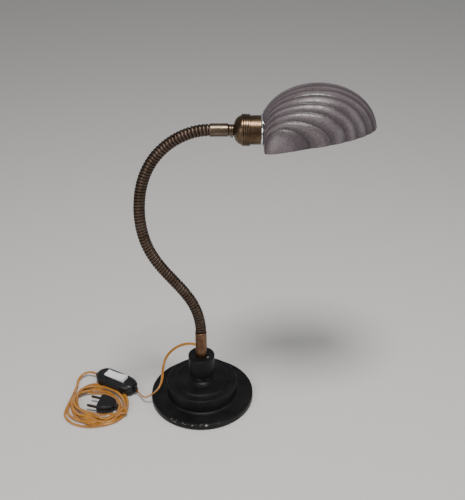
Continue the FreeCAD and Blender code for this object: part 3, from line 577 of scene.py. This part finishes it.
def make_flex(finishes, switch_pieces, plug_pieces):
    section = twin_section()
    sides = 8
    wire = [(CORE_RADIUS * math.cos(math.tau * k / sides), CORE_RADIUS * math.sin(math.tau * k / sides))
            for k in range(sides)]
    first = smooth_route("flex_to_switch", FLEX_TO_SWITCH)
    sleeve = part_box("plug_sleeve")
    plug_end = Vector((sleeve[1].x, (sleeve[0].y + sleeve[1].y) / 2, (sleeve[0].z + sleeve[1].z) / 2))
    coil = settle(coil_plan())
    end = [plug_end + Vector(step) * MM for step in PLUG_END_STEPS]
    second = smooth_route("flex_to_coil", FLEX_TO_COIL + coil + end)
    for name, path, roll, nodes, exit_point, far_end, pieces in (
            ("flex_a", first, switch_flex_roll, ("flex_to_switch",),
             FLEX_TO_SWITCH[0], "fitting", switch_pieces),
            ("flex_b", second, coil_flex_roll, ("flex_to_coil", "flex_coil"),
             FLEX_TO_COIL[0], "plug", plug_pieces)):
        frames = path_frames(path, roll)
        jacket = sweep(name, path, frames, section, finishes["amber_pvc"], "base", nodes)
        for side in (-1, 1):
            strand = sweep("%s_core_%d" % (name, side + 2), path, frames, wire, finishes["copper_strands"],
                           "base", shift=side * FLEX_WIDTH * CORE_ASIDE)
            strand.parent = jacket
            strand.matrix_parent_inverse = Matrix.Identity(4)
            strand.matrix_basis = Matrix.Identity(4)


# ---- gooseneck ----

# Every link of the gooseneck is this long and carries this many turns of the wound wire.
LINK = 22 * MM
TURNS_PER_LINK = 5
PITCH = LINK / TURNS_PER_LINK
PITCH_IN_MM = 4.4
# The wound wire and the filler wire between its turns, in mm.
GROOVE_RADIUS = 6.75
WIRE_RISE = 0.95
WIRE_HALF_WIDTH = 1.75
FILLER_RADIUS = 6.95
FILLER_SLOPE = 0.5
# The hose starts and stops this far from the two ferrules.
LOWER_ROOM = 0.6 * MM
UPPER_ROOM = 0.8 * MM
# The sleeve inside each joint: distance past the joint and radius, in mm.
SLEEVE = [(-3.5, 6.4), (2.5, 6.2), (5, 5.8)]
# Where across one pitch the surface is sampled, close together at the edges of the wire.
RIB_ROWS = [0, 0.04, 0.08, 0.102, 0.11, 0.13, 0.17, 0.23, 0.31, 0.4, 0.5, 0.6, 0.69, 0.77, 0.83, 0.87,
            0.89, 0.898, 0.92, 0.96]


def hose_line():
    """Where each link starts, how far it leans there and how far it turns, from the places of the joints."""
    places = [Vector(joint["pos_m"]) for joint in JOINTS]
    leans = [0.0]
    turns = []
    for start, end in zip(places, places[1:]):
        chord = math.atan2(start.x - end.x, end.z - start.z)
        turns.append(2 * (chord - leans[-1]))
        leans.append(leans[-1] + turns[-1])
    return places, leans, turns


def hose_place(line, distance):
    """Centre and sideways direction of the hose at a distance from its start."""
    places, leans, turns = line
    index = min(max(int(distance // LINK), 0), len(turns) - 1)
    along = distance - index * LINK
    bent = turns[index] * min(max(along / LINK, 0), 1)
    inside = min(max(along, 0), LINK)
    half = bent / 2
    reach = inside * (math.sin(half) / half if abs(half) > 1e-6 else 1)
    centre = places[index] + Vector((-math.sin(leans[index] + half), 0, math.cos(leans[index] + half))) * reach
    lean = leans[index] + bent
    centre += Vector((-math.sin(lean), 0, math.cos(lean))) * (along - inside)
    return centre, Vector((math.cos(lean), 0, math.sin(lean)))


def rib_height(phase):
    """Radius of the hose in mm across one pitch: a round wire, and a ridge of filler wire in the groove."""
    wire_away = (phase - 0.5) * PITCH_IN_MM
    wire = GROOVE_RADIUS + WIRE_RISE * math.sqrt(max(1 - (wire_away / WIRE_HALF_WIDTH) ** 2, 0))
    ridge_away = min(phase, 1 - phase) * PITCH_IN_MM
    return max(wire, FILLER_RADIUS - FILLER_SLOPE * ridge_away)


def hose_point(line, distance, angle, radius):
    centre, side = hose_place(line, distance)
    return centre + (side * math.cos(angle) + Vector((0, 1, 0)) * math.sin(angle)) * radius * MM


def make_hose(finishes):
    """The wound hose, one piece per link, with room between them to bend and a sleeve inside each joint."""
    line = hose_line()
    around = 56
    rows = len(RIB_ROWS)
    # Rows of the groove that are left out at both ends of a piece.
    room = 5
    links = len(JOINTS) - 1
    lowest = LOWER_ROOM
    highest = links * LINK - UPPER_ROOM
    for number in range(1, links + 1):
        start = (number - 1) * LINK - PITCH / 2
        count = TURNS_PER_LINK
        if number == 1:
            start -= PITCH
            count += 1
        if number == links:
            count += 1
        points = []
        crests = []
        places = {}
        for row in range(room, count * rows + rows + 1):
            turn, phase = divmod(row, rows)
            along = start + (turn + RIB_ROWS[phase]) * PITCH
            height = rib_height(RIB_ROWS[phase])
            for index in range(around):
                distance = min(max(along + PITCH * index / around, lowest), highest)
                places[row, index] = len(points), lowest < distance < highest
                points.append(hose_point(line, distance, math.tau * index / around, height))
                crests.append((height - GROOVE_RADIUS) / WIRE_RISE)
        faces = []
        for row in range(room, count * rows - room):
            for index in range(around):
                corners = [places[row, index], places[row + 1, index]]
                if index < around - 1:
                    corners += [places[row + 1, index + 1], places[row, index + 1]]
                elif row + rows < count * rows - room:
                    corners += [places[row + 1 + rows, 0], places[row + rows, 0]]
                else:
                    continue
                if any(inside for place, inside in corners):
                    faces.append([place for place, inside in corners])
        for joint, way in [(number, 1)] + ([(0, -1)] if number == 1 else []):
            first = len(points)
            for beyond, radius in SLEEVE:
                for index in range(around):
                    distance = joint * LINK + way * beyond * MM
                    points.append(hose_point(line, distance, math.tau * index / around, radius))
                    # The sleeve gets the darkest tone, the painted shade of the grooves.
                    crests.append(0.0)
            for here in range(first, first + 2 * around):
                following = here + 1 if (here - first + 1) % around else here + 1 - around
                faces.append([here, following, following + around, here + around])
        piece = mesh_piece("hose_%02d" % number, points, faces, finishes["bronzed_hose"],
                           HOSE_BODIES[number], None, ("gooseneck_link_%02d" % number,))
        # The crest value sets where the finish paints shade in the grooves and a highlight on the crests.
        attribute = piece.data.attributes.new("crest", "FLOAT", "POINT")
        attribute.data.foreach_set("value", crests)


# ---- base and lower ferrule ----

def make_base(finishes):
    casting = lathe("base_enamelled", [
        (44, 2), (71.5, 2), (71.5, 0.4, 0.3), (74.2, 0.4, 0.6), (75, 1.4, 0.8), (75, 9.3, 2.4), (72, 9.6, 1),
        (55, 10.4, 2), (51.2, 11.4, 1.6), (51.2, 31.8, 2.4), (48.6, 32, 0.5), (40.4, 32.4, 1),
        (39.4, 34.4, 1.6), (37.5, 34.6, 1.4), (30, 35, 3),
        (24.5, 35.5, 3), (19.5, 36.8, 5), (15, 40.2, 5), (13, 44, 2), (12.9, 45.5, 0.3), (18.4, 45.5, 0.6),
        (19, 46.4, 0.6), (19, 76.8, 1.8), (17.2, 77, 0.4), (8.7, 77, 0.5), (8.3, 76, 0.4), (8.3, 69), (5.1, 69),
        (5.1, 14), (44, 14)], finishes["black_enamel"], "base", None, ("base_casting",), segments=192)
    foot = 68
    hose_start = 119
    gap = 0.65
    lip = hose_start - gap
    ferrule = lathe("lower_ferrule_turned", [
        (5.2, foot + 1), (8.1, foot + 1), (8.2, 77, 0.2), (8.2, lip - 1.4, 0.9), (8, lip - 0.3, 0.4),
        (7.4, lip + 0.1, 0.3), (6.8, lip - 0.4), (6.8, lip - 6), (5.2, lip - 6)],
        finishes["copper_brass"], "base", None, ("lower_ferrule",), segments=96)


# ---- lampholder ----

THREAD_PITCH = 3.6


def make_lampholder(finishes):
    nickel = finishes["worn_nickel"]
    brass = finishes["aged_brass"]
    ferrule = lathe("upper_ferrule_turned", [
        (6.6, 6), (6.6, 0.8), (7.6, 0.3, 0.3), (8.05, 0.9, 0.4), (8.2, 2, 0.5), (8.2, 22.6, 0.8),
        (7.8, 24, 0.5), (5.2, 24), (5.2, 6)], nickel, "lampholder", AROUND_HEAD, ("upper_ferrule",), segments=96)
    nipple = lathe("nipple_turned", [
        (5, 23), (6.4, 24.1, 0.3), (7.1, 24.8, 0.5), (7.1, 26.6, 0.3), (6.8, 27, 0.2), (6.8, 27.6, 0.2),
        (7.1, 28, 0.3), (7.1, 29.4, 0.5), (6.5, 29.95, 0.3), (5, 31)],
        nickel, "lampholder", AROUND_HEAD, ("cord_grip_nipple",), segments=96)
    cap = lathe("cap_spun", [
        (5.2, 30.2), (7, 30, 0.8), (8.4, 30.6, 1.5), (12.8, 32.2, 5), (16.3, 35.4, 5), (18, 39, 3),
        (18.05, 42.8), (17.2, 42.8), (17, 39.5, 2), (12.4, 33.6, 4), (7, 31.4, 1), (5.2, 31.4)],
        brass, "lampholder", AROUND_HEAD, ("lampholder_cap",), steps=6)
    ring_foot = 39.6
    ring_end = 50
    ring = [(18.2, 39.7), (18.7, ring_foot, 0.3)]
    ribs = 4
    step = (ring_end - ring_foot) / ribs
    for index in range(ribs):
        foot = ring_foot + step * index
        ring += [(19.65, foot + 0.35, 0.5), (19.65, foot + step - 0.35, 0.5)]
        if index < ribs - 1:
            ring += [(18.85, foot + step, 0.15)]
    ring += [(18.7, ring_end, 0.3), (18.2, 49.9)]
    lathe("ribbed_ring_turned", ring, brass, "lampholder", AROUND_HEAD, ("ribbed_ring",))
    shell = lathe("shell_spun", [
        (17.2, 44), (18, 44, 0.2), (18, 74.4, 0.4), (17.7, 75, 0.3), (17.3, 74.8, 0.2), (17.2, 74)],
        brass, "lampholder", AROUND_HEAD, ("lampholder_shell",))
    thread = []
    thread_foot = 51.9
    thread_length = 22.1
    parts = 47
    for index in range(parts + 1):
        height = thread_foot + thread_length * index / parts
        thread.append((13.75 + 0.45 * math.cos(math.tau * height / THREAD_PITCH), height))
    thread += [(13.1, 74), (13.1, thread_foot)]
    lathe("thread_liner_rolled", thread, brass, "lampholder", AROUND_HEAD, ("thread_liner",))


def make_bulb(finishes):
    radius = 22
    centre = 97.7
    glass = lathe("bulb_globe", [(12.2, 76), (12.3, 80, 2)] + [
        (radius * math.sin(angle), centre - radius * math.cos(angle))
        for angle in [math.radians(44 + 136 * step / 40) for step in range(41)]],
        finishes["opal_glass"], "lampholder", AROUND_HEAD, ("bulb_glass",), closed=False)
    cap = [(4.6, 55.2), (9, 56, 1), (11.6, 58, 1)]
    thread_foot = 58.5
    thread_length = 19
    parts = 45
    for index in range(parts + 1):
        height = thread_foot + thread_length * index / parts
        cap.append((12.65 + 0.42 * math.cos(math.tau * height / THREAD_PITCH), height))
    cap += [(13.1, 78.5, 0.3), (13.1, 80, 0.3), (12.3, 80.2)]
    shell = lathe("bulb_cap_rolled", cap, finishes["aluminium"], "lampholder", AROUND_HEAD, ("bulb_cap",),
                  closed=False)


# ---- shade ----

# The shade in mm: the smooth shape's size, and its rim, which rises from the back to the front.
SHADE_LENGTH = 137.5
SHADE_CROWN = 57.5
SHADE_HALF_WIDTH = 51.0
RIM_AT_BACK = -18
RIM_RISE = 22.3
# The sheet stops just short of the shape's tip, and its direction is never sampled past this length.
SHEET_LENGTH = 137.3
LAST_SAMPLE = 137.4
HOLE_RADIUS = 18.2
# The pressed ribs spread from a point this far behind the shade. A groove lies at each of these slopes to the
# middle line, on both sides, and the ribs between them get deeper away from the middle.
FAN_BEHIND = 220.0
GROOVES = [-0.032, 0.032, 0.061, 0.09, 0.121, 0.147, 0.169, 0.187, 0.232]
RIB_DEPTHS = [0.9, 0.75, 0.9, 1.1, 1.5, 1.8, 2.1, 2.0]


def shade_shape(x):
    """Half width, crown height and rim height of the smooth shade at a distance in mm from its back."""
    crown_centre = 0.48 * SHADE_LENGTH
    crown_reach = SHADE_LENGTH - crown_centre if x > crown_centre else crown_centre * 1.085
    width_centre = 0.465 * SHADE_LENGTH
    crown = SHADE_CROWN * math.sqrt(max(1 - ((x - crown_centre) / crown_reach) ** 2, 0))
    if x > width_centre:
        width = math.sqrt(max(1 - ((x - width_centre) / (SHADE_LENGTH - width_centre)) ** 2, 0))
    else:
        width = max(1 - ((width_centre - x) / (width_centre * 1.03)) ** 8, 0) ** 0.125
    return SHADE_HALF_WIDTH * width, crown, RIM_AT_BACK + RIM_RISE * x / SHADE_LENGTH


def shade_point(x, angle):
    width, crown, rim = shade_shape(x)
    return Vector((x, -width * math.cos(angle), rim + (crown - rim) * math.sin(angle)))


def rib_at(point):
    """How proud the pressed surface is at a point, in mm, and how far out of a groove it is, from 0 to 1."""
    slope = abs(point.y) / (point.x + FAN_BEHIND)
    rib = 0
    while rib < len(RIB_DEPTHS) - 1 and slope > GROOVES[rib + 1]:
        rib += 1
    share = min((slope - GROOVES[rib]) / (GROOVES[rib + 1] - GROOVES[rib]), 1)
    lobe = math.sin(math.pi * share) if rib < len(RIB_DEPTHS) - 1 else math.sin(math.pi * min(share, 0.5))
    lobe = max(lobe, 0.0) ** 0.62
    fade = min(max((point.x - 2) / 24, 0.12), 1)
    return (lobe - 0.75) * RIB_DEPTHS[rib] * fade, lobe


def make_shade(finishes):
    """The pressed shade: rounded ribs that run from its back to its rim, with narrow folds between them."""
    rows = 190
    columns = 300
    points = []
    crests = []
    for row in range(rows + 1):
        x = SHEET_LENGTH * (1 - math.cos(math.pi * row / rows)) / 2
        for column in range(columns + 1):
            angle = math.pi * column / columns
            point = shade_point(x, angle)
            before = shade_point(max(x - 0.2, 0), angle)
            after = shade_point(min(x + 0.2, LAST_SAMPLE), angle)
            along = after - before
            around = shade_point(x, angle + 0.002) - shade_point(x, angle - 0.002)
            normal = along.cross(around)
            if normal.length > 0:
                normal.normalize()
            if normal.dot(point - Vector((60, 0, 0))) < 0:
                normal.negate()
            rise, lobe = rib_at(point)
            point += normal * rise
            point.x = max(point.x, 0)
            points.append(point)
            crests.append(lobe)
    count = columns + 1
    faces = []
    for row in range(rows):
        for column in range(columns):
            here = row * count + column
            faces.append((here, here + 1, here + count + 1, here + count))
    matrix = Matrix.Translation(SHADE_BACK) @ Matrix.Rotation(SHADE_ROLL, 4, "X") @ Matrix.Scale(MM, 4)
    shade = mesh_piece("shade_pressed", points, faces, finishes["grey_shade"], "shade", matrix, ("shade",))
    # The lobe value sets where the finish paints shade in the folds and a highlight on the ribs.
    attribute = shade.data.attributes.new("crest", "FLOAT", "POINT")
    attribute.data.foreach_set("value", crests)
    outward = shade.data.polygons[rows // 2 * columns + columns // 2].normal.z > 0
    shell = shade.modifiers.new("sheet", "SOLIDIFY")
    shell.thickness = 1.1 * MM
    shell.offset = -1 if outward else 1
    make_shade_back(finishes, matrix)


def make_shade_back(finishes, matrix):
    """The flat D-shaped back of the shade with the hole for the lampholder."""
    count = 96
    rings = []
    width, crown, rim = shade_shape(0.3)
    for inset, depth in [(-0.2, 1.6), (0.2, 0.35), (1.2, 0)]:
        ring = []
        for index in range(count):
            angle = math.tau * index / count
            toward = Vector((0, math.cos(angle), math.sin(angle)))
            near, far = 1.0, 60.0
            for _ in range(30):
                middle = (near + far) / 2
                y, z = toward.y * middle, toward.z * middle
                inside = z > rim and (y / width) ** 2 + (max(z - rim, 0) / (crown - rim)) ** 2 < 1
                near, far = (middle, far) if inside else (near, middle)
            ring.append(toward * max(near - inset, HOLE_RADIUS) + Vector((depth, 0, 0)))
        rings.append(ring)
    for radius, depth in ((HOLE_RADIUS, 0), (18.1, 0.4), (18.1, 1.2)):
        angles = [math.tau * index / count for index in range(count)]
        rings.append([Vector((depth, radius * math.cos(angle), radius * math.sin(angle))) for angle in angles])
    points = [point for ring in rings for point in ring]
    faces = []
    for row in range(len(rings) - 1):
        for index in range(count):
            beside = (index + 1) % count
            faces.append((row * count + index, row * count + beside,
                          (row + 1) * count + beside, (row + 1) * count + index))
    back = mesh_piece("shade_back", points, faces, finishes["grey_shade"], "shade", matrix)
    attribute = back.data.attributes.new("crest", "FLOAT", "POINT")
    attribute.data.foreach_set("value", [0.6] * len(points))
    shell = back.modifiers.new("sheet", "SOLIDIFY")
    shell.thickness = 0.9 * MM
    shell.offset = 0


def make_shade_rings(finishes):
    ring = lathe("shade_ring_polished", [
        (18.1, 63.3), (18.9, 63.2, 0.4), (19.9, 64, 0.9), (20.1, 65.2, 0.9), (19.9, 66.4, 0.5),
        (19.4, 66.75, 0.3), (18.1, 66.7)], finishes["polished_ring"], "shade", AROUND_HEAD, ("shade_ring",))


# ---- switch and plug ----

def switch_outline(inset):
    """Plan of the switch in mm about its centre: a round left end and a right end that narrows to a nose."""
    half = 15 - inset
    left = -19.0
    right = 13.0
    nose = 5 - inset * 0.6
    tip = 34 - inset
    outline = []
    quarter = 24
    for index in range(quarter):
        angle = math.pi / 2 + math.pi * index / quarter
        outline.append((left + half * math.cos(angle), half * math.sin(angle)))
    for index in range(quarter):
        outline.append((left + (right - left) * index / quarter, -half))
    side = []
    for index in range(quarter // 2):
        angle = math.pi / 2 * index / (quarter // 2)
        side.append((right + (tip - right) * math.sin(angle), nose + (half - nose) * math.cos(angle)))
    outline += [(x, -y) for x, y in side]
    outline += [(tip, -nose + 2 * nose * index / quarter) for index in range(quarter)]
    outline += list(reversed(side))
    return outline


def make_switch(finishes):
    black = finishes["black_plastic"]
    matrix = Matrix.Translation(SWITCH_CENTRE) @ Matrix.Rotation(SWITCH_TURN, 4, "Z") @ Matrix.Scale(MM, 4)
    pieces = []
    lower = [(3.2, 0.1), (1.6, 0.5), (0.5, 1.6), (0, 3.4), (0, 7.4), (0.35, 7.9)]
    pieces.append(stacked("switch_lower", [
        [Vector((x, y, height)) for x, y in switch_outline(inset)] for inset, height in lower],
        black, "base", matrix, ("switch_base",)))
    upper = [(0.35, 8.1), (0, 8.6), (0, 12.5), (0.5, 14.4), (1.7, 16.2), (3.4, 17.4), (5.2, SWITCH_HEIGHT)]
    rings = [[Vector((x, y, height)) for x, y in switch_outline(inset)] for inset, height in upper]
    # A high power makes the rocker's window a rectangle with small round corners.
    power = 14
    for grow, height in ((1.9, 18.05), (1.3, 19.0), (0.5, 19.0), (0.35, 18.6), (0.3, 13)):
        window = []
        for x, y in switch_outline(5.2):
            angle = math.atan2(y / ROCKER_HALF_WIDTH, x / ROCKER_HALF_LENGTH)
            reach = 1 / (abs(math.cos(angle)) ** power + abs(math.sin(angle)) ** power) ** (1 / power)
            window.append(Vector((ROCKER_OFFSET + (ROCKER_HALF_LENGTH + grow) * math.cos(angle) * reach,
                                  (ROCKER_HALF_WIDTH + grow) * math.sin(angle) * reach, height)))
        rings.append(window)
    pieces.append(stacked("switch_upper", rings, black, "base", matrix, ("switch_cover",)))
    rocker = make_rocker(finishes)
    return pieces + [rocker]


def make_rocker(finishes):
    low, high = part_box("switch_rocker")
    pivot = Vector(((low.x + high.x) / 2, (low.y + high.y) / 2, ROCKER_PIVOT * MM))
    matrix = (Matrix.Translation(pivot) @ Matrix.Rotation(SWITCH_TURN, 4, "Z")
              @ Matrix.Rotation(math.radians(-5), 4, "Y") @ Matrix.Scale(MM, 4))
    half = ROCKER_HALF_LENGTH
    top = SWITCH_HEIGHT + ROCKER_RISE - ROCKER_PIVOT
    dip = 1.5
    profile = [(-half, top - 5.6), (-3, -3.4), (3, -3.4), (half, top - 5.6), (half, top)]
    profile += [(half - 2 * half * step / 12, top - dip * (1 - (1 - step / 6) ** 2)) for step in range(1, 12)]
    profile += [(-half, top)]
    count = len(profile)
    points = [Vector((x, side * ROCKER_HALF_WIDTH, z)) for side in (-1, 1) for x, z in profile]
    faces = [tuple(range(count)), tuple(reversed(range(count, 2 * count)))]
    for index in range(count):
        beside = (index + 1) % count
        faces.append((index, index + count, beside + count, beside))
    rocker = mesh_piece("rocker_moulded", points, faces, finishes["white_plastic"], "rocker", matrix,
                        ("switch_rocker",))
    soften(rocker, 0.7 * MM)
    return rocker


def make_plug(finishes):
    matrix = (Matrix.Translation(PLUG_CORNER) @ Matrix.Rotation(PLUG_TURN, 4, "Z")
              @ Matrix.Rotation(PLUG_PITCH, 4, "Y") @ Matrix.Scale(MM, 4))
    outline = [(0, 0), (10.8, 0), (24, 5), (24, 23), (10.8, 28), (0, 28)]
    centre = Vector((12, 14))
    rings = []
    levels = [(1.8, 0), (0.6, 0.6), (0, 2), (0, 6.2), (0.25, 6.5), (0, 6.8), (0, 11), (0.6, 12.4), (1.8, 13)]
    for inset, height in levels:
        ring = []
        for index, point in enumerate(outline):
            here = Vector(point)
            inward = (centre - here).normalized() * inset * 1.3
            for beside in (outline[index - 1], outline[(index + 1) % len(outline)]):
                step = (Vector(beside) - here).normalized() * 2.2
                ring.append(Vector((*(here + step + inward), height)))
        rings.append(ring)
    body = stacked("plug_moulded", rings, finishes["black_plastic"], "base", matrix, ("plug_body",))
    soften(body, 0.8 * MM, 30)
    to_mm = Matrix.Scale(1000, 4)
    pins = []
    for side in (-1, 1):
        foot = Matrix.Translation((0, PLUG_MIDDLE + side * PIN_ASIDE, PLUG_AXIS))
        pin_matrix = matrix @ foot @ Matrix.Rotation(math.radians(-90), 4, "Y")
        # The pins take the metal darkened with painted shade.
        pin = lathe("plug_pin_%d" % (side + 2), [
            (0.01, -2), (2, -2), (2.6, 0, 0.3), (2, 0.8, 0.3), (2, 13.2, 0.6), (1.2, 15, 0.8), (0.01, 15.1)],
            finishes["painted_shade_pins"], "base", pin_matrix @ to_mm, ("plug_pins",), closed=False, segments=32)
        pins.append(pin)
    tail = Matrix.Translation((24, PLUG_MIDDLE, PLUG_AXIS))
    sleeve_matrix = matrix @ tail @ Matrix.Rotation(math.radians(90), 4, "Y")
    sleeve = lathe("plug_sleeve_moulded", [
        (0.01, -1), (4.2, -1), (4, 1, 0.4), (3.4, 2, 0.3), (3.9, 2.4, 0.3), (3.2, 4, 0.3), (3.6, 4.4, 0.3),
        (2.8, 6, 0.4), (0.01, 6.1)],
        finishes["black_plastic"], "base", sleeve_matrix @ to_mm, ("plug_sleeve",), closed=False, segments=32)
    return [body, *pins, sleeve]


# ---- finishes of the CAD parts that stay as they are ----

def paint_cad_parts(finishes):
    parts = {
        "steel": ("base_nut", "base_washer", "threaded_stem", "terminal_screws", "cord_grip_screw",
                  "collar_screw"),
        "green_felt": ("felt_pad",),
        "black_plastic": ("flex_bush", "switch_grommets"),
        "ceramic": ("ceramic_insert",),
        "aged_brass": ("centre_contact", "bulb_contact", "switch_contacts"),
        "aluminium": ("shade_lock_ring",),
    }
    for finish, nodes in parts.items():
        for node in nodes:
            piece = frame["nodes"][node]
            if not piece.material_slots:
                piece.data.materials.append(finishes[finish])
            for place in piece.material_slots:
                place.link = "OBJECT"
                place.material = finishes[finish]


def main():
    make_camera()
    make_stage()
    finishes = make_finishes()
    switch_pieces = make_switch(finishes)
    plug_pieces = make_plug(finishes)
    make_flex(finishes, switch_pieces + [frame["nodes"]["switch_grommets"]], plug_pieces)
    make_base(finishes)
    make_hose(finishes)
    make_lampholder(finishes)
    make_bulb(finishes)
    make_shade(finishes)
    make_shade_rings(finishes)
    paint_cad_parts(finishes)


main()
